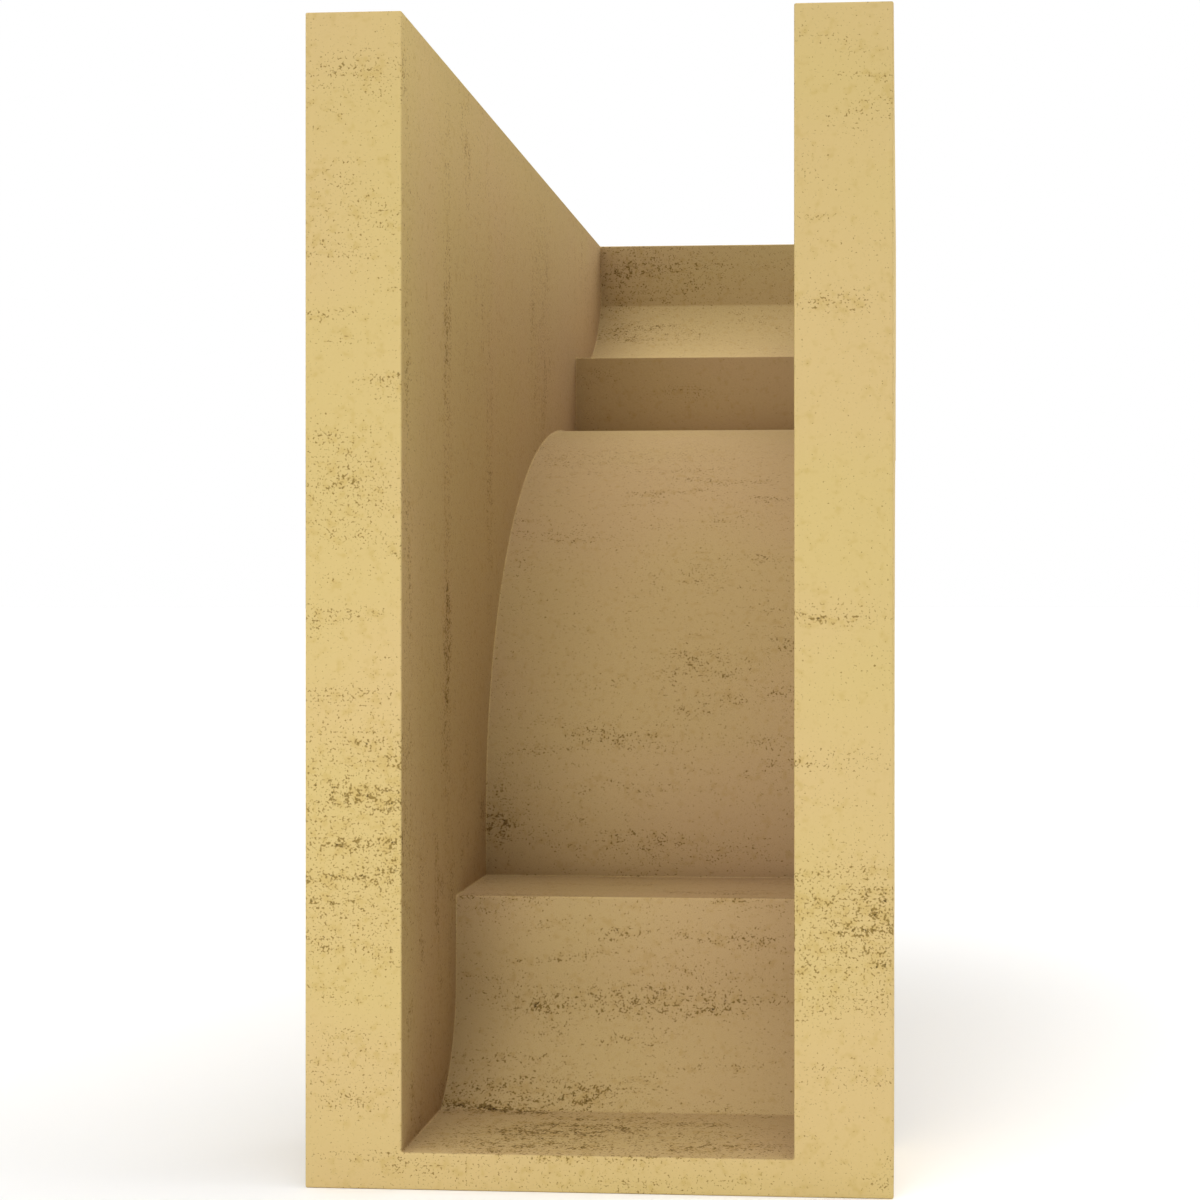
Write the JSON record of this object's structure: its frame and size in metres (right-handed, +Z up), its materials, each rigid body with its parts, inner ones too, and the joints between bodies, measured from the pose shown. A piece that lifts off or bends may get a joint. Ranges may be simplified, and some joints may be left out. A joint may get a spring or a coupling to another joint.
{
  "type": "hollow corbel",
  "caption": "Hollow cast corbel: thick side cheeks joined by a thin floor and a moulded front with a foot round, step, deep cove, band and crown; open at the back and top.",
  "frame": {"origin": "middle of the floor's back edge, in the plane that lies against the wall", "axes": "+Z up, +Y out of the corbel's back into the wall, so the corbel reaches out along -Y; +X across it, from cheek to cheek"},
  "size_m": [0.1524, 0.3048, 0.3048],
  "materials": {
    "cast_sand": "matt sand colour with fine brown specks in bands along the grain"
  },
  "bodies": {
    "root": {"corbel": "cast_sand"}
  },
  "joints": []
}
